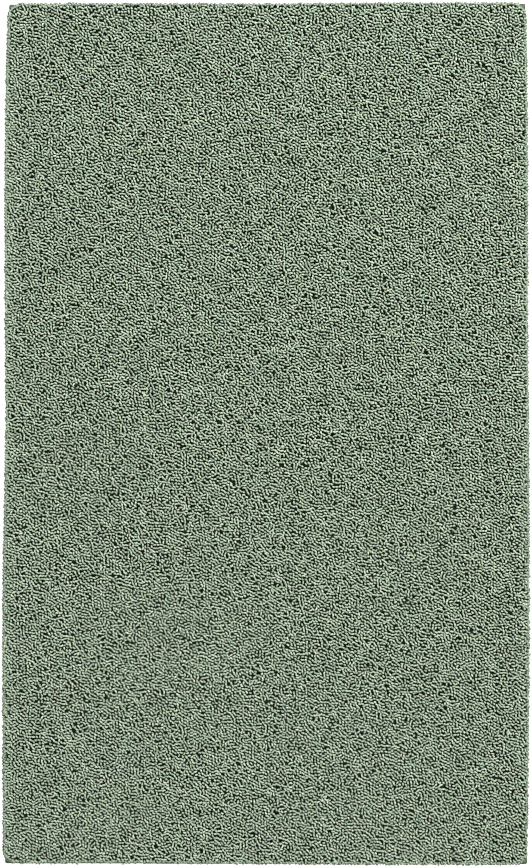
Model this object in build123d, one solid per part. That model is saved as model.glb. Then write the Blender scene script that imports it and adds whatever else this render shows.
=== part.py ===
from build123d import *
import os

# A tufted cotton bath mat that lies flat on the floor. Millimetres, +Z up, +Y towards the back.
# The origin is the centre of the mat's footprint, on the plane that the mat rests on.

# Thicknesses, from the floor up. The hem and the latex lie side by side under the base cloth.
CLOTH = 1.0
LATEX = 1.0
PILE = 13.0
PILE_SHOULDER = 5.0  # radius of the pile's rounded top edge
PILE_CORNER_RADIUS = 6.0

# The mat is cut and hemmed by hand, so its four corners are a few millimetres out of square.
FRONT_LEFT = Vector(-303.4, -501.6)
FRONT_RIGHT = Vector(305.6, -502.6)
BACK_RIGHT = Vector(303.4, 501.2)
BACK_LEFT = Vector(-298.6, 500.2)
CORNERS = [FRONT_LEFT, FRONT_RIGHT, BACK_RIGHT, BACK_LEFT]
SIDES = ["front", "right", "back", "left"]  # each runs from its own corner to the next one
CORNER_RADIUS = 2.0

# The border of the cloth is turned under and sewn down.
HEM_WIDTH = 15.0
FOLD_RADIUS = 0.9

# How far the loops stand out past the hem, at even steps along each side. Below 0, the hem shows.
LOOPS_PAST_HEM = {
    "front": [-1.8, -2.4, -1.5, -1.0, -1.0],
    "right": [-1.2, 1.6, 2.7, 2.1, 1.3, 1.7, -0.5],
    "back": [-0.6, -0.5, -1.2, -0.8, -0.9],
    "left": [0.4, 3.3, 2.5, 0.9, 3.3, 2.7, 1.6],
}
BARE_CORNER = 10.0  # the corners fold too thickly to be tufted, so the pile stops short of them

# Lockstitches hold the hem: one thread shows on the underside, the other lies under the pile.
STITCH_INSET = 11.0
STITCH_PITCH = 7.0
STITCH_LENGTH = 5.5
THREAD_WIDTH = 0.8
THREAD_HEIGHT = 0.4
GROOVE_WIDTH = 1.2
GROOVE_DEPTH = 0.5

# A blank care label, one end caught in the left hem.
LABEL_LENGTH = 45.0
LABEL_WIDTH = 30.0
LABEL_THICKNESS = 0.35
LABEL_CAUGHT = 8.0
LABEL_FROM_BACK = 90.0
LABEL_CLEARANCE = 0.05


def inset(corners, distance):
    """The same outline moved in by distance. Its corners are so near square that this mitres them."""
    moved = []
    for i, corner in enumerate(corners):
        to_last = (corners[i - 1] - corner).normalized()
        to_next = (corners[(i + 1) % len(corners)] - corner).normalized()
        moved.append(corner + (to_last + to_next) * distance)
    return moved


def slab(corners, low, high, radius=0.0):
    """A flat solid with this outline between two heights."""
    face = make_face(Polyline(*corners, close=True))
    if radius:
        face = fillet(face.vertices(), radius)
    return Pos(0, 0, low) * extrude(face, high - low)


def along_side(index, distance):
    """The two ends of a line that runs along one side, this far in from the edge."""
    line = inset(CORNERS, distance)
    return line[index], line[(index + 1) % len(line)]


def on_side(index, distance, share, height):
    """A plane on one side, with +X along it: this far in from the edge, this share of its length."""
    start, end = along_side(index, distance)
    place = start + (end - start) * share
    return Plane((place.X, place.Y, height), x_dir=end - start, z_dir=(0, 0, 1))


def stitch_groove(index, low):
    """The dimple that a row of stitches pulls into the cloth along one side."""
    start, end = along_side(index, STITCH_INSET)
    groove = extrude(Rectangle((end - start).length, GROOVE_WIDTH), GROOVE_DEPTH)
    return on_side(index, STITCH_INSET, 0.5, low) * groove


def stitching(index):
    """The two threads along one side: stitches on the underside, one buried line under the pile."""
    start, end = along_side(index, STITCH_INSET)
    length = (end - start).length
    count = int(length // STITCH_PITCH)
    stitch = extrude(SlotOverall(STITCH_LENGTH, THREAD_WIDTH), THREAD_HEIGHT)
    buried = extrude(SlotOverall(count * STITCH_PITCH, THREAD_WIDTH), THREAD_HEIGHT)
    underside = GROOVE_DEPTH - THREAD_HEIGHT
    threads = [on_side(index, STITCH_INSET, (i + 0.5) / count, underside) * stitch for i in range(count)]
    threads.append(on_side(index, STITCH_INSET, 0.5, 2 * CLOTH - GROOVE_DEPTH) * buried)
    return Compound([solid for thread in threads for solid in thread.solids()])


def hem_frame():
    """All four turned-under borders: a flat layer below, and the fold that closes the edge."""
    frame = slab(CORNERS, 0, 2 * CLOTH, CORNER_RADIUS)
    outer = frame.faces().filter_by(Axis.Z).edges()
    frame = fillet(outer, FOLD_RADIUS)
    frame -= slab(inset(CORNERS, CLOTH), CLOTH, 2 * CLOTH)
    return frame - slab(inset(CORNERS, HEM_WIDTH), 0, CLOTH)


def hem(index, frame):
    """One side of the hem, mitred at both ends, with a dimple along its stitches."""
    following = (index + 1) % len(CORNERS)
    inner = inset(CORNERS, HEM_WIDTH)
    share = slab([CORNERS[index], CORNERS[following], inner[following], inner[index]], 0, 2 * CLOTH)
    return (frame & share) - stitch_groove(index, 0)


def base_cloth():
    """The canvas that the loops are tufted through, inside the fold of the hem."""
    cloth = slab(inset(CORNERS, CLOTH), CLOTH, 2 * CLOTH)
    for index in range(len(SIDES)):
        cloth -= stitch_groove(index, 2 * CLOTH - GROOVE_DEPTH)
    return cloth


def pile_outline():
    """The outer edge of the loops: a gently uneven line on each side, cut short at the corners."""
    lines = []
    for index, side in enumerate(SIDES):
        start, end = along_side(index, 0)
        along = (end - start).normalized()
        outward = along.rotate(Axis.Z, -90)
        length = (end - start).length - 2 * BARE_CORNER
        steps = LOOPS_PAST_HEM[side]
        points = [
            start + along * (BARE_CORNER + length * i / (len(steps) - 1)) + outward * past
            for i, past in enumerate(steps)
        ]
        lines.append(Spline(*points))
    for i in range(len(SIDES)):
        lines.append(Line(lines[i] @ 1, lines[(i + 1) % len(SIDES)] @ 0))
    return lines


def pile():
    """The room that all the loops fill, as one plain solid with a rounded shoulder."""
    face = make_face(pile_outline())
    face = fillet(face.vertices(), PILE_CORNER_RADIUS)
    body = Pos(0, 0, 2 * CLOTH) * extrude(face, PILE)
    return fillet(body.faces().sort_by(Axis.Z)[-1].edges(), PILE_SHOULDER)


def label_place():
    """Where the label leaves the left hem, with its own +X pointing in over the latex."""
    left = SIDES.index("left")
    start, end = along_side(left, HEM_WIDTH)
    edge = on_side(left, HEM_WIDTH, LABEL_FROM_BACK / (end - start).length, 0)
    return Plane(edge.origin, x_dir=edge.y_dir, z_dir=edge.z_dir)


def care_label(grow=0.0):
    """A strip caught above the hem's lower layer that steps down to lie in the latex."""
    caught_low = CLOTH - LABEL_THICKNESS
    free_end = LABEL_LENGTH - LABEL_CAUGHT
    section = [
        (-LABEL_CAUGHT - grow, caught_low - grow),
        (0, caught_low - grow),
        (0, LABEL_CLEARANCE),
        (free_end + grow, LABEL_CLEARANCE),
        (free_end + grow, LABEL_CLEARANCE + LABEL_THICKNESS + grow),
        (LABEL_THICKNESS + grow, LABEL_CLEARANCE + LABEL_THICKNESS + grow),
        (LABEL_THICKNESS + grow, CLOTH),
        (-LABEL_CAUGHT - grow, CLOTH),
    ]
    face = make_face(Plane.XZ * Polyline(*section, close=True))
    return label_place() * extrude(face, LABEL_WIDTH / 2 + grow, both=True)


def latex_backing():
    """The non-slip coat inside the hem, pressed in where the label lies."""
    return slab(inset(CORNERS, HEM_WIDTH), 0, LATEX) - care_label(LABEL_CLEARANCE)


def mat():
    """Every piece of the mat by name."""
    frame = hem_frame()
    pieces = {"pile": pile(), "base_cloth": base_cloth(), "latex_backing": latex_backing()}
    for index, side in enumerate(SIDES):
        pieces["hem_" + side] = hem(index, frame)
        pieces["hem_stitching_" + side] = stitching(index)
    pieces["hem_left"] -= care_label(LABEL_CLEARANCE)
    pieces["care_label"] = care_label()
    return pieces


def write(pieces):
    """One STEP file for each piece, with the footprint's centre moved to the origin."""
    os.makedirs("parts", exist_ok=True)
    footprint = Compound(list(pieces.values())).bounding_box().center()
    for name, piece in pieces.items():
        export_step(Pos(-footprint.X, -footprint.Y, 0) * piece, f"parts/{name}.step")


write(mat())
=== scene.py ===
import math

import bpy
import numpy as np
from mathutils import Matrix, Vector


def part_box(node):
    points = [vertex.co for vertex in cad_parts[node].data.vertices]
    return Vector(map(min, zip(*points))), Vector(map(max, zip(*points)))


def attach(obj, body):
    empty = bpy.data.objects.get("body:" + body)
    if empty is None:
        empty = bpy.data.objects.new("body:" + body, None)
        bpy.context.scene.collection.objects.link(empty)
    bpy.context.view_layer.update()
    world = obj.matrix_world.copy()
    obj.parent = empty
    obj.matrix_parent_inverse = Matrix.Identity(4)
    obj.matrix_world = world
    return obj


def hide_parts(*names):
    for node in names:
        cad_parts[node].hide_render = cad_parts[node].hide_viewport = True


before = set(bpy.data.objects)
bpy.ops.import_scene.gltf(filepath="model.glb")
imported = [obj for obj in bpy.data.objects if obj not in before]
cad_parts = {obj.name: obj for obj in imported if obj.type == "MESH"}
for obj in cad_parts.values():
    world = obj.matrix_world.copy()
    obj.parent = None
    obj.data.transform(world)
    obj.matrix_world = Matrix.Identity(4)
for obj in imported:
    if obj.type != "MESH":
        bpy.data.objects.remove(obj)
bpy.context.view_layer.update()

MM = 0.001
SEED = 60100
rng = np.random.default_rng(SEED)
NOISE_WAVES = 24  # how many waves add up to a smooth random field
WAVE_SPREAD = (0.5, 1.2)  # fewest and most waves in a length of the field's size
FOOT_BAND = 0.05 * MM  # points no higher than this above a node's lowest are its foot

# The pile: each tuft is one loop of yarn that stands on the cloth.
YARN_RADIUS = 1.0 * MM
YARN_SIDES = 6
YARN_TWIST = 3.2 * MM  # length that the yarn's map counts as 1, which sets how far its plies slant
ROW_PITCH = 3.6 * MM
TUFT_PITCH = 3.7 * MM
TUFT_JITTER = 0.55  # of a pitch
TUFT_GAP = 3.9 * MM  # crowns closer than this push each other apart
PUSH_ROUNDS = 12
PUSH_SHARE = 0.25  # of what a pair of crowns lacks, how much each of them gives way in a round
ROW_WANDER = 35.0 * MM  # the rows drift from straight in patches of this size
ROW_DRIFT = 0.3 * MM
LOOP_HALF = (0.7 * MM, 1.7 * MM)  # about half a loop's width, least and most
LOOP_LIE = -30.0  # degrees, the direction that most loops lie along, seen from above
LOOP_SPREAD = 34.0  # degrees, how far patches of loops turn from it
LOOP_PATCH = 13.0 * MM  # size of those patches
LOOP_STRAY = 24.0  # degrees, how far single loops turn from their neighbours
LOOP_HEIGHT = 0.97  # of the room that the pile gives its yarn
LOOP_SWELL = 0.012  # how far that share comes and goes from patch to patch
SWELL_PATCH = 30.0 * MM
LOOP_DIP = 1.3 * MM  # how much lower than its neighbours a loop's crown may be
LOOP_BEND = 0.6 * MM  # how far a loop's middle bows out of its own plane
LOOP_TILT = 0.5 * MM  # how much one side of a crown is above its middle
ROOT_SHIFT = 0.4 * MM  # how far a loop's roots are from their place
LEAN_CURVE = 1.5  # a leaning loop bends over more, the higher it gets
STRIPS = 20  # that the pile is made in

# Round the edge, three rows of loops hang out over the hem, one above another, with their roots
# inside its fold. Each row has its room inside the outline and its share of the full height.
EDGE_ROWS = [(1.0 * MM, 0.38), (0.2 * MM, 0.68), (1.6 * MM, 0.92)]
EDGE_PITCH = 3.6 * MM
EDGE_UNEVEN = 0.25 * MM  # how far their crowns are from an even row
EDGE_STRAY = 36.0  # degrees, how far they turn from lying along the edge
EDGE_REACH = 14.0 * MM  # loops this near the edge lean out
EDGE_DROP = 1.5 * MM  # how much lower they are at the edge
EDGE_SHADE = 0.4  # of the tint's range: painted shade, since the edge rows stand in more light, so their yarn is painted darker
EDGE_LIGHT_REACH = 10.0 * MM  # light comes in from the side this far
EDGE_LIGHT_LEAST = 0.85  # the least share of its depth that a point there is shaded by
HEM_CLEAR = 1.6 * MM  # how far inside the edge of the base cloth the outermost roots are

# One loop from root to root, in shares: how far across, how high, and how thick the yarn is.
LOOP_ACROSS = np.array([-0.40, -1.05, -0.55, 0.55, 1.05, 0.40])
LOOP_UP = np.array([0.0, 0.87, 0.985, 0.985, 0.87, 0.0])
LOOP_THICK = np.array([0.85, 1.02, 1.04, 1.04, 1.02, 0.85])
YARN_UNEVEN = 0.07  # how far its thickness strays

# The pile's colours. Each loop has a tint and a hue, and each point on it a depth, all from 0 to 1.
# The tint gives a green, which the colours for the hue and the depth then multiply. The depth's colours
# are painted shade: the yarn is darker the deeper it lies among the loops.
TINT_MIDDLE = 0.5
TINT_DRIFT = 0.03  # from patch to patch
TINT_PATCH = 45.0 * MM
TINT_SPREAD = 0.22  # from loop to loop
PILE_GREENS = [
    (0.0, (0.168, 0.223, 0.152)),
    (0.5, (0.258, 0.326, 0.231)),
    (1.0, (0.380, 0.455, 0.338)),
]
PILE_HUES = [
    (0.0, (1.05, 1.00, 0.96)),
    (0.33, (1.04, 0.99, 1.03)),
    (0.67, (0.96, 1.00, 1.05)),
    (1.0, (0.97, 1.01, 0.97)),
]
# painted shade: how dark the yarn is painted at each depth, from the top of the pile to the cloth
PILE_PAINTED_SHADE = [
    (0.12, (1.0, 1.0, 1.0)),
    (0.32, (0.74, 0.77, 0.72)),
    (0.55, (0.40, 0.43, 0.38)),
    (1.0, (0.18, 0.20, 0.17)),
]

# The cloth, its hem and the thread that holds it, in the main sizes of the CAD part.
CLOTH = 1.0 * MM
HEM_WIDTH = 15.0 * MM
CORNER_RADIUS = 2.0 * MM
CLOTH_STEP = 8.0 * MM
CLOTH_RIPPLE = 0.04 * MM
CLOTH_PATCH = 40.0 * MM
WEAVE_PITCH = 0.9 * MM
HEM_SWAY = 0.25 * MM  # how far the folded edge strays from straight
SWAY_PATCH = 60.0 * MM
FOLD_POINTS = 9
HEM_FLAT = np.array([2.5, 5.0, 7.5]) * MM  # points across the hem, between the fold and the stitches
HEM_LIP = np.array([1.0, 0.2, 0.0]) * MM  # points near its cut edge, by distance from it
LIP_THIN = np.array([0.0, 0.05, 0.2]) * MM  # how much each skin is pressed in at those points
STITCH_INSET = 11.0 * MM
STITCH_PITCH = 7.0 * MM
STITCH_POINTS = 4  # along the hem for each stitch
STITCH_REACH = 3.1 * MM  # from a stitch's middle to its needle hole
STITCH_LEAN = 0.03  # how far a stitch slants, as a share of its length
STITCH_DEPTH = 0.5 * MM  # how far the stitches pull the cloth in
STITCH_PRESS = (0.6, 1.0)  # of that depth, least and most, once for each stitch
STITCH_VALLEY = 0.8 * MM  # about half the width of the dip along them
VALLEY_MARKS = STITCH_VALLEY * np.array([-2, -1, -0.5, 0, 0.5, 1, 2])  # points across the dip
THREADS = [(0.3 * MM, 1), (1.7 * MM, -1)]  # each thread's height, and whether its ends dip up or down
HOLE_DIP = 0.55 * MM  # how far each end goes in
HOLE_CURVE = 5  # the higher, the more sharply a stitch turns into its holes
PLY_RADIUS = 0.2 * MM
PLY_SIDES = 6
PLY_RINGS = 8
PLY_TURNS = 2.2  # along one stitch
PLY_RISE = 0.09 * MM  # small, because a stitch is pressed flat
CANVAS_GREENS = [
    (0.0, (0.050, 0.068, 0.039)),
    (0.5, (0.080, 0.108, 0.064)),
    (1.0, (0.112, 0.147, 0.090)),
]

# The underside.
RIB_DEPTH = 0.30 * MM
RIB_POINTS = 4  # across each rib
RIB_CLARITY = 0.75  # how clearly the ribs stand out, 0 to 1, give or take RIB_WEAR
RIB_WEAR = 0.25
WEAR_PATCH = 25.0 * MM
LATEX_STEP = 14.0 * MM
LATEX_LEAST = 0.05 * MM  # thickness over the label
LABEL_THICKNESS = 0.35 * MM
LABEL_CAUGHT = 8.0 * MM
LABEL_STEP = 1.6 * MM  # length over which the label comes down off the hem
LABEL_CLEARANCE = 0.05 * MM
LABEL_GRID = (91, 31)  # points along it and across it
LABEL_RIPPLE = 0.03 * MM
RIPPLE_PATCH = 12.0 * MM
LABEL_BORDER = 0.8 * MM  # it is pressed thin this near its edges
BORDER_THIN = 0.12 * MM  # each face, at the very edge

SIDES = ["front", "right", "back", "left"]


# Outlines

def corners_of(name):
    """A four-sided node's corners seen from above: front left, front right, back right, back left."""
    points = np.array([v.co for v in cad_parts[name].data.vertices])[:, :2]
    ways = np.array([(-1, -1), (1, -1), (1, 1), (-1, 1)])
    return points[(points @ ways.T).argmax(0)]


def corner_ways(corners):
    """The two directions along the sides at each corner: to the last corner and to the next."""
    to_last = np.roll(corners, 1, 0) - corners
    to_next = np.roll(corners, -1, 0) - corners
    to_last /= np.linalg.norm(to_last, axis=1, keepdims=True)
    to_next /= np.linalg.norm(to_next, axis=1, keepdims=True)
    return to_last, to_next


def inset(corners, distance):
    """The same outline moved in by distance and mitred. A negative distance moves it out."""
    to_last, to_next = corner_ways(corners)
    return corners + (to_last + to_next) * distance


def round_corners(points, corners, radius):
    """Draws the points near each square corner in, so that the corner becomes an arc."""
    to_last, to_next = corner_ways(corners)
    for corner, one, other in zip(corners, to_last, to_next):
        a = radius - (points[..., :2] - corner) @ one
        b = radius - (points[..., :2] - corner) @ other
        near = (a > 0) & (b > 0)
        a, b = a[near], b[near]
        shrink = 1 - np.maximum(a, b) / np.hypot(a, b)
        points[near, :2] += np.outer(a * shrink, one) + np.outer(b * shrink, other)
    return points


def outline_of(name):
    """A node's outline at its foot, as points in order round it, seen from above."""
    points = np.array([v.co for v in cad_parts[name].data.vertices])
    foot = points[points[:, 2] < points[:, 2].min() + FOOT_BAND, :2]
    foot = np.unique(foot.round(6), axis=0)  # to the micrometre
    turn = np.arctan2(foot[:, 1], foot[:, 0])
    return foot[np.argsort(turn)]


def room_inside(points, outline):
    """How far each point is inside an outline, negative outside, and the direction straight out.

    The outline's points run anticlockwise.
    """
    along = np.roll(outline, -1, 0) - outline
    from_start = points[:, None] - outline[None]
    share = (from_start * along).sum(2) / (along ** 2).sum(1)
    away = from_start - np.clip(share, 0, 1)[..., None] * along
    gap = np.hypot(away[..., 0], away[..., 1])
    nearest = gap.argmin(1)
    every = np.arange(len(points))
    edge = along[nearest]
    out = np.stack([edge[:, 1], -edge[:, 0]], 1) / np.hypot(edge[:, 0], edge[:, 1])[:, None]
    inside = (away[every, nearest] * out).sum(1) < 0
    return np.where(inside, gap[every, nearest], -gap[every, nearest]), out


def smooth_noise(points, size):
    """A smooth random field, mostly between -1.4 and 1.4, whose waves are about this long."""
    turn = rng.uniform(0, 2 * np.pi, NOISE_WAVES)
    speed = 2 * np.pi / size * rng.uniform(*WAVE_SPREAD, NOISE_WAVES)
    phase = rng.uniform(0, 2 * np.pi, NOISE_WAVES)
    sway = points @ np.stack([np.cos(turn), np.sin(turn)]) * speed + phase
    return np.cos(sway).sum(-1) / math.sqrt(NOISE_WAVES)


# Meshes

def mesh_piece(name, points, faces, material, smooth=True):
    """A mesh object from arrays of points and of faces, which all have the same number of corners."""
    mesh = bpy.data.meshes.new(name)
    mesh.vertices.add(len(points))
    mesh.vertices.foreach_set("co", points.astype(np.float32).ravel())
    mesh.loops.add(faces.size)
    mesh.loops.foreach_set("vertex_index", faces.astype(np.int32).ravel())
    mesh.polygons.add(len(faces))
    mesh.polygons.foreach_set("loop_start", np.arange(0, faces.size, faces.shape[1], dtype=np.int32))
    mesh.update(calc_edges=True)
    mesh.polygons.foreach_set("use_smooth", np.full(len(faces), smooth))
    mesh.materials.append(material)
    piece = bpy.data.objects.new(name, mesh)
    bpy.context.scene.collection.objects.link(piece)
    return piece


def stand_for(piece, cad_node):
    """The piece rides on the mat's one body and replaces its CAD node."""
    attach(piece, "root")
    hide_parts(cad_node)
    return piece


def tube_points(path, side, radius, sides):
    """Rings of points round many paths. side is roughly square to each path, at its every point."""
    ahead = np.gradient(path, axis=1)
    ahead /= np.linalg.norm(ahead, axis=2, keepdims=True)
    side = side - (side * ahead).sum(2, keepdims=True) * ahead
    side /= np.linalg.norm(side, axis=2, keepdims=True)
    up = np.cross(ahead, side)
    turn = np.linspace(0, 2 * np.pi, sides, endpoint=False)
    ring = side[:, :, None] * np.cos(turn)[:, None] + up[:, :, None] * np.sin(turn)[:, None]
    return path[:, :, None] + ring * radius[:, :, None, None]


def tube_faces(count, rings, sides):
    """The four-cornered faces of that many tubes, closed at both ends. sides is an even number."""
    index = np.arange(count * rings * sides).reshape(count, rings, sides)
    near, far = index[:, :-1], index[:, 1:]
    walls = np.stack([near, np.roll(near, -1, 2), np.roll(far, -1, 2), far], -1).reshape(-1, 4)
    caps = []
    for k in range(1, sides - 2, 2):
        corners = [0, k, k + 1, k + 2]
        caps.append(index[:, 0][:, corners[::-1]])
        caps.append(index[:, -1][:, corners])
    return np.concatenate([walls, *caps])


def closed_sheet(name, upper, lower, material):
    """A thin closed piece between two grids of points.

    Seen from outside upper, a step along a grid's second axis is a left turn from one along its first.
    """
    rows, columns = upper.shape[:2]
    index = np.arange(rows * columns).reshape(rows, columns)
    faces = np.stack([index[:-1, :-1], index[1:, :-1], index[1:, 1:], index[:-1, 1:]], -1).reshape(-1, 4)
    rim = np.concatenate([index[:-1, 0], index[-1, :-1], index[:0:-1, -1], index[0, :0:-1]])
    following = np.roll(rim, -1)
    under = rows * columns
    walls = np.stack([following, rim, rim + under, following + under], -1)
    faces = np.concatenate([faces, faces[:, ::-1] + under, walls])
    points = np.concatenate([upper.reshape(-1, 3), lower.reshape(-1, 3)])
    return mesh_piece(name, points, faces, material)


# Materials

def new_material(name):
    """An empty node material, with its tree and its shader."""
    material = bpy.data.materials.new(name)
    material.use_nodes = True
    tree = material.node_tree
    tree.nodes.clear()
    output = tree.nodes.new("ShaderNodeOutputMaterial")
    shader = tree.nodes.new("ShaderNodeBsdfPrincipled")
    tree.links.new(shader.outputs[0], output.inputs["Surface"])
    return material, tree, shader


def set_shader(shader, **values):
    """Plain values on the shader's own sockets, named with _ for a space."""
    for name, value in values.items():
        shader.inputs[name.replace("_", " ")].default_value = value


def link_shader(tree, shader, **sources):
    """Other nodes' outputs, linked to the shader's own sockets, named with _ for a space."""
    for name, source in sources.items():
        tree.links.new(source, shader.inputs[name.replace("_", " ")])


def node(tree, kind, links=None, **values):
    """A new node, with its properties and inputs set by name and other nodes' outputs linked in."""
    made = tree.nodes.new("ShaderNode" + kind)
    for name, value in values.items():
        if hasattr(made, name):
            setattr(made, name, value)
        else:
            made.inputs[name.replace("_", " ")].default_value = value
    for name, source in (links or {}).items():
        tree.links.new(source, made.inputs[name])
    return made


def attribute(tree, name):
    """A number that the mesh holds for each of its points."""
    return node(tree, "Attribute", attribute_name=name).outputs["Fac"]


def noise(tree, scale, detail=3.0):
    """Fine random grain, fixed to the piece."""
    place = node(tree, "TexCoord").outputs["Object"]
    return node(tree, "TexNoise", {"Vector": place}, Scale=scale, Detail=detail).outputs["Fac"]


def colour_ramp(tree, source, stops):
    """A colour ramp: stops are (place, colour) from low to high."""
    ramp = tree.nodes.new("ShaderNodeValToRGB")
    tree.links.new(source, ramp.inputs[0])
    marks = ramp.color_ramp.elements
    for _ in range(len(stops) - len(marks)):
        marks.new(0.5)  # moved to its own place below
    for mark, (place, colour) in zip(marks, stops):
        mark.position = place
        mark.color = (*colour, 1)
    return ramp.outputs["Color"]


def number_ramp(tree, source, low, high):
    """A number that goes from low to high as the source goes from 0 to 1."""
    return node(tree, "MapRange", {"Value": source}, To_Min=low, To_Max=high).outputs["Result"]


def slanting_ridges(tree, place, scale, distortion):
    """Even slanting ridges, 0 to 1."""
    waves = node(tree, "TexWave", {"Vector": place}, bands_direction="DIAGONAL", Scale=scale)
    waves.inputs["Distortion"].default_value = distortion
    return waves.outputs["Fac"]


def times(tree, colour, factor):
    """A colour made lighter or darker by a number."""
    return node(tree, "VectorMath", {0: colour, "Scale": factor}, operation="SCALE").outputs[0]


def bump(tree, height, distance, strength=1.0, under=None):
    """A bump of this height, on top of another bump if one is given."""
    links = {"Height": height}
    if under is not None:
        links["Normal"] = under
    return node(tree, "Bump", links, Distance=distance, Strength=strength).outputs["Normal"]


def pile_material():
    """Matt cotton yarn with slanting plies, its green never quite the same, and painted shade that darkens
    it among the roots.
    """
    material, tree, shader = new_material("pile_yarn")
    fibres = noise(tree, scale=900.0)
    green = colour_ramp(tree, attribute(tree, "tint"), PILE_GREENS)
    # painted shade: the deeper a point lies in the pile, the darker its yarn
    shade = colour_ramp(tree, attribute(tree, "depth"), PILE_PAINTED_SHADE)
    hue = colour_ramp(tree, attribute(tree, "hue"), PILE_HUES)
    green = node(tree, "VectorMath", {0: green, 1: hue}, operation="MULTIPLY").outputs[0]
    colour = node(tree, "VectorMath", {0: green, 1: shade}, operation="MULTIPLY").outputs[0]
    colour = times(tree, colour, number_ramp(tree, fibres, low=0.80, high=1.18))
    yarn = node(tree, "UVMap", uv_map="yarn").outputs["UV"]
    plies = slanting_ridges(tree, yarn, scale=1.0, distortion=0.6)
    twist = bump(tree, plies, distance=0.35 * MM, strength=0.7)
    fuzz = bump(tree, fibres, distance=0.12 * MM, strength=0.6, under=twist)
    link_shader(tree, shader, Base_Color=colour, Normal=fuzz)
    set_shader(shader, Roughness=0.88, Sheen_Weight=0.12, Sheen_Roughness=0.6, Specular_IOR_Level=0.2)
    return material


def weave(tree, pitch):
    """The height of a plain weave, 0 to 1: each thread goes over one crossing and under the next."""
    place = node(tree, "SeparateXYZ", {"Vector": node(tree, "TexCoord").outputs["Object"]})
    waves = []
    for axis in ("X", "Y"):
        turn = node(tree, "Math", {0: place.outputs[axis]}, operation="MULTIPLY")
        turn.inputs[1].default_value = math.pi / pitch
        waves.append(node(tree, "Math", {0: turn.outputs[0]}, operation="SINE").outputs[0])
    crossing = node(tree, "Math", {0: waves[0], 1: waves[1]}, operation="MULTIPLY").outputs[0]
    return node(tree, "MapRange", {"Value": crossing}, From_Min=-1.0).outputs["Result"]


def canvas_material(name):
    """Dyed cotton canvas: a plain weave with uneven threads, and painted shade that makes it darker where
    the threads dip and paler on top of each crossing.
    """
    material, tree, shader = new_material(name)
    threads = weave(tree, WEAVE_PITCH)
    slubs = noise(tree, scale=260.0, detail=4.0)
    colour = colour_ramp(tree, slubs, CANVAS_GREENS)
    # painted shade: the weave's dips darker and its crossings paler
    colour = times(tree, colour, number_ramp(tree, threads, low=0.70, high=1.20))
    roughness = number_ramp(tree, slubs, low=0.80, high=1.0)
    woven = bump(tree, threads, distance=0.25 * MM, strength=0.9)
    uneven = bump(tree, slubs, distance=0.15 * MM, strength=0.6, under=woven)
    link_shader(tree, shader, Base_Color=colour, Roughness=roughness, Normal=uneven)
    set_shader(shader, Sheen_Weight=0.1, Sheen_Roughness=0.6, Specular_IOR_Level=0.2)
    return material


def thread_material():
    """Polyester sewing thread, a little shinier than the cotton it holds."""
    material, tree, shader = new_material("hem_thread")
    fibres = noise(tree, scale=1500.0)
    greens = [(0.2, (0.17, 0.22, 0.15)), (0.8, (0.25, 0.31, 0.22))]
    colour = colour_ramp(tree, fibres, greens)
    roughness = number_ramp(tree, fibres, low=0.40, high=0.65)
    fuzz = bump(tree, fibres, distance=0.06 * MM, strength=0.7)
    link_shader(tree, shader, Base_Color=colour, Roughness=roughness, Normal=fuzz)
    set_shader(shader, Sheen_Weight=0.15)
    return material


def latex_material():
    """Sprayed latex: matt and off-white, with a yellower mottle and fine pits."""
    material, tree, shader = new_material("latex")
    mottle = noise(tree, scale=45.0, detail=5.0)
    grain = noise(tree, scale=700.0)
    whites = [(0.3, (0.56, 0.54, 0.45)), (0.7, (0.66, 0.65, 0.58))]
    colour = colour_ramp(tree, mottle, whites)
    colour = times(tree, colour, number_ramp(tree, grain, low=0.92, high=1.06))
    roughness = number_ramp(tree, mottle, low=0.60, high=0.85)
    place = node(tree, "TexCoord").outputs["Object"]
    pits = node(tree, "TexVoronoi", {"Vector": place}, Scale=520.0).outputs["Distance"]
    pitted = bump(tree, pits, distance=0.15 * MM, strength=0.5)
    rough = bump(tree, grain, distance=0.10 * MM, strength=0.6, under=pitted)
    link_shader(tree, shader, Base_Color=colour, Roughness=roughness, Normal=rough)
    return material


def satin_material():
    """White label satin: fine slanting floats with a soft gloss, and painted shade a little darker between
    them.
    """
    material, tree, shader = new_material("label_satin")
    place = node(tree, "TexCoord").outputs["Object"]
    floats = slanting_ridges(tree, place, scale=700.0, distortion=0.4)
    cloud = noise(tree, scale=120.0)
    whites = [(0.2, (0.74, 0.74, 0.71)), (0.8, (0.84, 0.84, 0.82))]
    colour = colour_ramp(tree, cloud, whites)
    # painted shade: a little darker between the floats than on them
    colour = times(tree, colour, number_ramp(tree, floats, low=0.94, high=1.03))
    roughness = number_ramp(tree, floats, low=0.35, high=0.55)
    raised = bump(tree, floats, distance=0.05 * MM, strength=0.6)
    link_shader(tree, shader, Base_Color=colour, Roughness=roughness, Normal=raised)
    set_shader(shader, Sheen_Weight=0.3)
    return material


# The pile

def along_outline(outline, pitch, room):
    """Points at even steps round an outline, this far inside it."""
    closed = np.concatenate([outline, outline[:1]])
    run = np.linalg.norm(np.diff(closed, axis=0, prepend=closed[:1]), axis=1).cumsum()
    at = np.arange(rng.uniform(0, pitch), run[-1], pitch)
    points = np.stack([np.interp(at, run, closed[:, 0]), np.interp(at, run, closed[:, 1])], 1)
    return points - room_inside(points, outline)[1] * room


def push_apart(crowns, gap):
    """A grid of crowns, after those closer together than this gap have pushed each other apart."""
    for _ in range(PUSH_ROUNDS):
        moved = crowns.copy()
        for rows, steps in ((0, 1), (1, 0), (1, 1), (1, -1)):
            away = crowns - np.roll(crowns, (rows, steps), (0, 1))
            distance = np.linalg.norm(away, axis=2, keepdims=True)
            shove = away / distance * np.clip(gap - distance, 0, None) * PUSH_SHARE
            moved += shove - np.roll(shove, (-rows, -steps), (0, 1))
        crowns = moved
    return crowns


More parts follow.
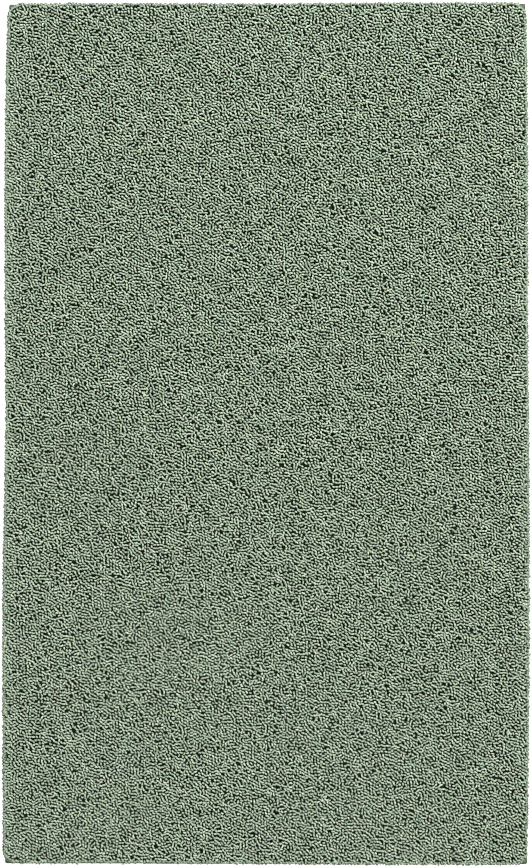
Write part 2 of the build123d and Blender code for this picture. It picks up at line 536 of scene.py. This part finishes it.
def place_crowns(edge):
    """Where the loops' crowns lie, seen from above, and each one's share of the full height.

    Uneven rows run along the whole mat, and a few more run round its edge.
    """
    low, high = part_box("pile")
    columns = np.arange(low.x, high.x, ROW_PITCH)
    steps = np.arange(low.y, high.y, TUFT_PITCH)
    x, y = np.meshgrid(columns, steps, indexing="ij")
    every_other = (np.arange(len(columns)) % 2)[:, None]
    y = y + every_other * TUFT_PITCH / 2
    crowns = np.stack([x, y], -1)
    crowns += rng.uniform(-TUFT_JITTER, TUFT_JITTER, crowns.shape) * (ROW_PITCH, TUFT_PITCH)
    drift = [smooth_noise(crowns, ROW_WANDER), smooth_noise(crowns, ROW_WANDER)]
    crowns += np.stack(drift, -1) * ROW_DRIFT
    crowns = push_apart(crowns, TUFT_GAP).reshape(-1, 2)
    room, _ = room_inside(crowns, edge)
    top_row_inside, _ = EDGE_ROWS[-1]
    crowns = crowns[room > top_row_inside + ROW_PITCH / 4]
    groups = [crowns]
    shares = [np.ones(len(crowns))]
    for inside, share in EDGE_ROWS:
        row = along_outline(edge, EDGE_PITCH, inside)
        groups.append(row + rng.normal(0, EDGE_UNEVEN, row.shape))
        shares.append(np.full(len(row), share))
    return np.concatenate(groups), np.concatenate(shares)


def find_roots(crowns, room, out, cloth):
    """Where each loop stands: under its crown, or near the edge further in, clear of the hem's fold."""
    on_cloth, _ = room_inside(crowns, cloth)
    outermost = min(inside for inside, _ in EDGE_ROWS)
    past_cloth = room - on_cloth
    slope = (HEM_CLEAR + past_cloth - outermost) / (EDGE_REACH - outermost)
    drawn_in = slope * np.clip(EDGE_REACH - room, 0, None)
    return crowns - out * drawn_in[:, None] + rng.normal(0, ROOT_SHIFT, crowns.shape)


def loop_headings(crowns, share, out):
    """The direction that each loop lies along, seen from above, in radians."""
    turned = LOOP_SPREAD * smooth_noise(crowns, LOOP_PATCH) + rng.normal(0, LOOP_STRAY, len(crowns))
    round_edge = np.degrees(np.arctan2(out[:, 0], -out[:, 1])) + rng.normal(0, EDGE_STRAY, len(crowns))
    return np.radians(np.where(share < 1, round_edge, LOOP_LIE + turned))


def crown_heights(crowns, share, room):
    """How high each crown's yarn is above the cloth: uneven, and lower near the edge."""
    low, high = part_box("pile")
    uneven = LOOP_HEIGHT + LOOP_SWELL * smooth_noise(crowns, SWELL_PATCH)
    near_edge = np.clip(1 - room / EDGE_REACH, 0, 1)
    drop = rng.uniform(0, LOOP_DIP, len(crowns)) + EDGE_DROP * near_edge ** 2 * (share == 1)
    return (high.z - low.z - YARN_RADIUS) * share * uneven - drop


def bend_loops(crowns, share, cloth, edge):
    """Each loop's path from root to root, and the direction square to it."""
    count = len(crowns)
    room, out = room_inside(crowns, edge)
    roots = find_roots(crowns, room, out, cloth)
    heading = loop_headings(crowns, share, out)
    along = np.stack([np.cos(heading), np.sin(heading), np.zeros(count)], 1)
    across = np.stack([-np.sin(heading), np.cos(heading), np.zeros(count)], 1)
    half = rng.uniform(*LOOP_HALF, count)
    height = crown_heights(crowns, share, room)
    side_bend = rng.normal(0, LOOP_BEND, count)
    tilt = rng.normal(0, LOOP_TILT, count)

    path = along[:, None] * (half[:, None] * LOOP_ACROSS)[..., None]
    path += across[:, None] * (side_bend[:, None] * (1 - LOOP_ACROSS ** 2) * LOOP_UP)[..., None]
    path[..., :2] += roots[:, None] + (crowns - roots)[:, None] * (LOOP_UP ** LEAN_CURVE)[:, None]
    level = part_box("pile")[0].z + height[:, None] * LOOP_UP
    path[..., 2] += level + tilt[:, None] * LOOP_ACROSS * LOOP_UP
    return path, across


def loop_colours(crowns, share):
    """Each loop's tint and hue: its own, with a slow drift across the mat, and painted shade that lowers
    the edge rows' tint.
    """
    drift = TINT_DRIFT * smooth_noise(crowns, TINT_PATCH)
    tint = TINT_MIDDLE + drift + rng.normal(0, TINT_SPREAD, len(crowns))
    # painted shade: the edge rows' tint is lowered because they stand in more light
    tint -= EDGE_SHADE * (share < 1)
    return tint, rng.uniform(0, 1, len(crowns))


def depth_in_pile(points, crowns, edge):
    """How deep each loop's points lie, from 0 at the top to 1 at the cloth, and less near the edge: this
    sets the pile's painted shade.
    """
    low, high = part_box("pile")
    room, _ = room_inside(crowns, edge)
    depth = 1 - (points[..., 2] - low.z) / (high.z - low.z)
    return depth * np.clip(room / EDGE_LIGHT_REACH, EDGE_LIGHT_LEAST, 1)[:, None, None]


def grow_pile(material):
    """All the loops, in strips that run the length of the mat."""
    low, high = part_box("pile")
    edge = outline_of("pile")
    crowns, share = place_crowns(edge)
    path, across = bend_loops(crowns, share, corners_of("base_cloth"), edge)
    count, rings = path.shape[:2]
    radius = YARN_RADIUS * LOOP_THICK * rng.normal(1.0, YARN_UNEVEN, (count, rings))
    points = tube_points(path, np.repeat(across[:, None], rings, 1), radius, YARN_SIDES)
    run = np.linalg.norm(np.diff(path, axis=1, prepend=path[:, :1]), axis=2).cumsum(1)
    tint, hue = loop_colours(crowns, share)
    depth = depth_in_pile(points, crowns, edge)

    strip = ((crowns[:, 0] - low.x) / (high.x - low.x) * STRIPS).astype(int)
    pieces = []
    for k in range(STRIPS):
        here = strip == k
        faces = tube_faces(here.sum(), rings, YARN_SIDES)
        piece = mesh_piece(f"pile_rows_{k + 1:02d}", points[here].reshape(-1, 3), faces, material)
        add_numbers(piece, "tint", np.repeat(tint[here], rings * YARN_SIDES))
        add_numbers(piece, "hue", np.repeat(hue[here], rings * YARN_SIDES))
        # the depth that the material turns into painted shade
        add_numbers(piece, "depth", depth[here].ravel())
        add_yarn_map(piece, run[here], faces)
        pieces.append(stand_for(piece, "pile"))
    return pieces


def add_numbers(piece, name, values):
    """A number for each of a piece's points, which its material reads by this name."""
    numbers = piece.data.attributes.new(name, "FLOAT", "POINT")
    numbers.data.foreach_set("value", np.clip(values, 0, 1).astype(np.float32))


def add_yarn_map(piece, run, faces):
    """A map for the plies: along the yarn in lengths of YARN_TWIST, and once round it from 0 to 1."""
    count, rings = run.shape
    u = np.repeat(run.ravel() / YARN_TWIST, YARN_SIDES)
    v = np.tile(np.arange(YARN_SIDES) / YARN_SIDES, count * rings)
    corners = faces.ravel()
    uv = np.stack([u[corners], v[corners]], 1).reshape(len(faces), faces.shape[1], 2)
    half_round = 0.5
    wraps = (uv[..., 1].max(1) - uv[..., 1].min(1)) > half_round
    uv[..., 1] += wraps[:, None] * (uv[..., 1] < half_round)
    layer = piece.data.uv_layers.new(name="yarn")
    layer.data.foreach_set("uv", uv.astype(np.float32).ravel())


# The cloth

mat_corners = inset(corners_of("base_cloth"), -CLOTH)


def across_mat(corners, right, back):
    """Points by their shares of the way from left to right and from front to back, both as arrays."""
    u, v = np.meshgrid(right, back, indexing="ij")
    u, v = u[..., None], v[..., None]
    front = corners[0] + (corners[1] - corners[0]) * u
    rear = corners[3] + (corners[2] - corners[3]) * u
    return front + (rear - front) * v


def at_height(flat, height):
    """Flat points lifted to this height, one number or one for each point."""
    return np.concatenate([flat, np.broadcast_to(height, flat.shape[:-1])[..., None]], -1)


def cloth_steps(length):
    """Even shares of the base cloth's length or width, and closer ones where the stitches pull it down."""
    near = STITCH_INSET - CLOTH + VALLEY_MARKS
    even = np.linspace(0, length, round(length / CLOTH_STEP) + 1)
    return np.unique(np.concatenate([even, near, length - near])) / length


def valley(inward):
    """How far the stitches pull the cloth in, at this distance from the mat's edge."""
    return STITCH_DEPTH * np.exp(-((inward - STITCH_INSET) / STITCH_VALLEY) ** 2)


def lay_base_cloth(material):
    """The canvas that the loops are tufted through, pulled down along the hem's stitches."""
    low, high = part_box("base_cloth")
    corners = corners_of("base_cloth")
    width, length = high.x - low.x, high.y - low.y
    right = cloth_steps(width)
    back = cloth_steps(length)
    flat = across_mat(corners, right, back)
    from_side = np.minimum(right, 1 - right)[:, None] * width + CLOTH
    from_end = np.minimum(back, 1 - back)[None] * length + CLOTH
    along_sides = valley(from_side) * (from_end > STITCH_INSET)
    along_ends = valley(from_end) * (from_side > STITCH_INSET)
    drawn = np.maximum(along_sides, along_ends)
    ripple = CLOTH_RIPPLE * (smooth_noise(flat, CLOTH_PATCH) - 1)
    flat = round_corners(flat, corners, CORNER_RADIUS - CLOTH)
    upper = at_height(flat, high.z - drawn + ripple)
    cloth = closed_sheet("base_cloth_canvas", upper, at_height(flat, low.z), material)
    return stand_for(cloth, "base_cloth")


def on_side(index, inward, share):
    """Points this far in from the edge of one side of the mat, at this share of its length."""
    following = (index + 1) % len(SIDES)
    mitres = inset(mat_corners, 1.0) - mat_corners
    start = mat_corners[index] + mitres[index] * inward[..., None]
    finish = mat_corners[following] + mitres[following] * inward[..., None]
    return start + (finish - start) * share[..., None]


def hem_section():
    """The hem cut across: its outer and inner skins, by distance in from the edge and height."""
    turn = np.radians(np.linspace(90, 270, FOLD_POINTS))
    fold = np.stack([CLOTH + CLOTH * np.cos(turn), CLOTH + CLOTH * np.sin(turn)], 1)
    inward = np.concatenate([HEM_FLAT, STITCH_INSET + VALLEY_MARKS, HEM_WIDTH - HEM_LIP])
    thinned = np.concatenate([np.zeros(len(inward) - len(LIP_THIN)), LIP_THIN])
    outer = np.concatenate([fold, np.stack([inward, thinned], 1)])
    fold_heights = np.linspace(2 * CLOTH, CLOTH, FOLD_POINTS)
    lining = np.stack([np.full(FOLD_POINTS, CLOTH), fold_heights], 1)
    inner = np.concatenate([lining, np.stack([inward, CLOTH - thinned], 1)])
    return outer, inner


def stitch_press(share, length):
    """How hard the stitches press at this share of a side's length: it comes and goes with each."""
    sewn = length - 2 * STITCH_INSET
    stitches = int(sewn // STITCH_PITCH)
    least, most = STITCH_PRESS
    turn = 2 * np.pi * stitches * (share * length - STITCH_INSET) / sewn
    return (most + least) / 2 - (most - least) / 2 * np.cos(turn)


def label_pocket(points):
    """Whether each point is over or under the care label."""
    low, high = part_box("care_label")
    room = 2 * LABEL_CLEARANCE
    inside = (points[..., 0] > low.x - room) & (points[..., 0] < high.x + room)
    return inside & (points[..., 1] > low.y - room) & (points[..., 1] < high.y + room)


def turn_hem(index, material):
    """One side's border, folded under and drawn in where it is stitched, with no edge quite straight."""
    outer, inner = hem_section()
    length = np.linalg.norm(mat_corners[(index + 1) % len(SIDES)] - mat_corners[index])
    steps = round(length / STITCH_PITCH) * STITCH_POINTS
    share = np.linspace(0, 1, steps + 1)[:, None] * np.ones(len(outer))
    held_at_ends = np.sin(np.pi * share) ** 0.5
    sway = HEM_SWAY * smooth_noise(share[..., None] * (length, 0), SWAY_PATCH) * held_at_ends
    skins = []
    for section, pressed in ((outer, stitch_press(share, length)), (inner, 0)):
        inward, height = section.T
        place = on_side(index, inward + sway * np.clip(1 - inward / HEM_WIDTH, 0, 1), share)
        place = round_corners(place, mat_corners, CORNER_RADIUS)
        skins.append(at_height(place, height + valley(inward) * pressed))
    outer_skin, inner_skin = skins
    caught = label_pocket(inner_skin)
    below_label = CLOTH - LABEL_THICKNESS - LABEL_CLEARANCE
    inner_skin[caught, 2] = np.minimum(inner_skin[caught, 2], below_label)
    name = "hem_" + SIDES[index]
    hem = stand_for(closed_sheet(name + "_fold", outer_skin, inner_skin, material), name)


def stitch_paths(middle, ahead, aside):
    """The path of each ply of both threads, in stitches that dip into the cloth at their ends."""
    run = np.linspace(-STITCH_REACH, STITCH_REACH, PLY_RINGS)
    dip = HOLE_DIP * np.abs(run / STITCH_REACH) ** HOLE_CURVE
    paths = []
    for height, way in THREADS:
        lean = rng.normal(0, STITCH_LEAN, len(middle))
        for ply in (0, np.pi):
            turn = ply + 2 * np.pi * PLY_TURNS * run / (2 * STITCH_REACH)
            path = middle[:, None] + ahead * run[:, None]
            path = path + aside * (PLY_RADIUS * np.cos(turn) + lean[:, None] * run)[..., None]
            path[..., 2] += height + way * dip + PLY_RISE * np.sin(turn)
            paths.append(path)
    return np.concatenate(paths)


def sew_hem(index, material):
    """One side's two rows of lockstitches: one on the underside and one under the pile."""
    start, finish = on_side(index, np.full(2, STITCH_INSET), np.array([0.0, 1.0]))
    length = np.linalg.norm(finish - start)
    count = int(length // STITCH_PITCH)
    ahead = at_height((finish - start) / length, 0.0)
    aside = np.array([-ahead[1], ahead[0], 0.0])
    share = (np.arange(count) + 0.5) / count
    middle = at_height(start + (finish - start) * share[:, None], 0.0)
    path = stitch_paths(middle, ahead, aside)
    radius = np.full(path.shape[:2], PLY_RADIUS)
    points = tube_points(path, np.broadcast_to(aside, path.shape), radius, PLY_SIDES)
    name = "hem_stitching_" + SIDES[index]
    faces = tube_faces(len(path), PLY_RINGS, PLY_SIDES)
    stitches = mesh_piece(name + "_thread", points.reshape(-1, 3), faces, material)
    return stand_for(stitches, name)


# The underside

def label_foot(inward):
    """The height of the label's lower side, this far in from the hem's inner edge."""
    share = np.clip(inward / LABEL_STEP, 0, 1)
    fall = share * share * (3 - 2 * share)
    caught = CLOTH - LABEL_THICKNESS
    return caught + (LABEL_CLEARANCE - caught) * fall


def coat_latex(material):
    """The non-slip coat, with a rib under each row of tufts and a hollow where the label lies."""
    low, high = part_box("latex_backing")
    label_low, label_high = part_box("care_label")
    width, length = high.x - low.x, high.y - low.y
    right = np.linspace(0, 1, round(width / ROW_PITCH) * RIB_POINTS + 1)
    rim = 3 * LABEL_CLEARANCE
    hollow = np.array([label_low.y - rim, label_low.y, label_high.y, label_high.y + rim])
    hollow = (hollow - low.y) / length
    back = np.unique(np.concatenate([np.linspace(0, 1, round(length / LATEX_STEP) + 1), hollow]))
    flat = across_mat(corners_of("latex_backing"), right, back)
    rows = np.cos(2 * np.pi * (flat[..., 0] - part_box("pile")[0].x) / ROW_PITCH)
    worn = RIB_CLARITY + RIB_WEAR * smooth_noise(flat, WEAR_PATCH)
    height = RIB_DEPTH * np.clip(0.5 - 0.5 * rows * worn, 0, 1)
    under = label_pocket(flat)
    from_hem = flat[..., 0] - (label_low.x + LABEL_CAUGHT)
    height[under] = label_foot(from_hem[under]) + LABEL_THICKNESS + LABEL_CLEARANCE
    height = np.minimum(height, high.z - LATEX_LEAST)
    coat = closed_sheet("latex_coat", at_height(flat, high.z), at_height(flat, height), material)
    stand_for(coat, "latex_backing")


def sew_label(material):
    """A blank strip of satin that comes out from under the hem and lies in the latex."""
    low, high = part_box("care_label")
    length, width = high.x - low.x, high.y - low.y
    u, v = np.meshgrid(*[np.linspace(0, 1, points) for points in LABEL_GRID], indexing="ij")
    flat = np.stack([low.x + length * u, low.y + width * v], -1)
    loose = np.clip(u * 2 - 0.5, 0, 1)  # more and more, from a quarter of its length to three quarters
    ripple = LABEL_RIPPLE * (1 + smooth_noise(flat, RIPPLE_PATCH)) * loose
    foot = label_foot(length * u - LABEL_CAUGHT) + ripple
    edge = np.minimum(np.minimum(v, 1 - v) * width, (1 - u) * length)
    thin = BORDER_THIN * np.clip(1 - edge / LABEL_BORDER, 0, 1)
    upper = at_height(flat, foot + LABEL_THICKNESS - thin)
    strip = closed_sheet("care_label_strip", upper, at_height(flat, foot + thin), material)
    stand_for(strip, "care_label")


# The room

def stage_floor():
    """A plain pale floor, which glows so that it comes out evenly white."""
    material, tree, shader = new_material("pale_floor")
    set_shader(shader, Base_Color=(0.35, 0.35, 0.35, 1), Roughness=0.9)
    set_shader(shader, Emission_Color=(1, 1, 1, 1), Emission_Strength=0.80)
    corners = np.array([(-4, -4, 0), (4, -4, 0), (4, 4, 0), (-4, 4, 0)], float)
    mesh_piece("floor", corners, np.array([[0, 1, 2, 3]]), material, smooth=False)


def add_light(name, place, size, power):
    """A square lamp that looks at the middle of the mat."""
    lamp = bpy.data.lights.new(name, "AREA")
    lamp.size = size
    lamp.energy = power
    holder = bpy.data.objects.new(name, lamp)
    holder.location = place
    holder.rotation_euler = (-Vector(place)).to_track_quat("-Z", "Y").to_euler()
    bpy.context.scene.collection.objects.link(holder)


def light_room():
    """One soft lamp from the back right, low enough to rake the pile, in an even pale room."""
    world = bpy.data.worlds.new("room")
    world.use_nodes = True
    background = world.node_tree.nodes["Background"]
    background.inputs["Color"].default_value = (1, 1, 1, 1)
    background.inputs["Strength"].default_value = 1.0
    bpy.context.scene.world = world
    add_light("key", place=(1.2, 1.9, 3.3), size=1.0, power=240)
    bpy.context.scene.view_settings.view_transform = "Standard"


def add_camera():
    """Straight above the mat, with its back edge at the top of the picture."""
    taken_in = 1006.4 * MM  # by the picture's long side, at the top of the pile
    middle = (-0.1 * MM, 0.4 * MM)  # of the picture
    camera = bpy.data.cameras.new("camera")
    camera.lens = 100
    camera.sensor_width = 36
    camera.clip_end = 20
    distance = taken_in * camera.lens / camera.sensor_width
    holder = bpy.data.objects.new("camera", camera)
    holder.location = (*middle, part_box("pile")[1].z + distance)
    bpy.context.scene.collection.objects.link(holder)
    bpy.context.scene.camera = holder
    bpy.context.scene.cycles.filter_width = 1.0  # pixels, so that single loops stay crisp


loops = grow_pile(pile_material())
cloth = lay_base_cloth(canvas_material("base_cloth"))
hem_cloth = canvas_material("hem_cloth")
hem_thread = thread_material()
stitching = [sew_hem(index, hem_thread) for index in range(len(SIDES))]
for index in range(len(SIDES)):
    turn_hem(index, hem_cloth)
coat_latex(latex_material())
sew_label(satin_material())

stage_floor()
light_room()
add_camera()
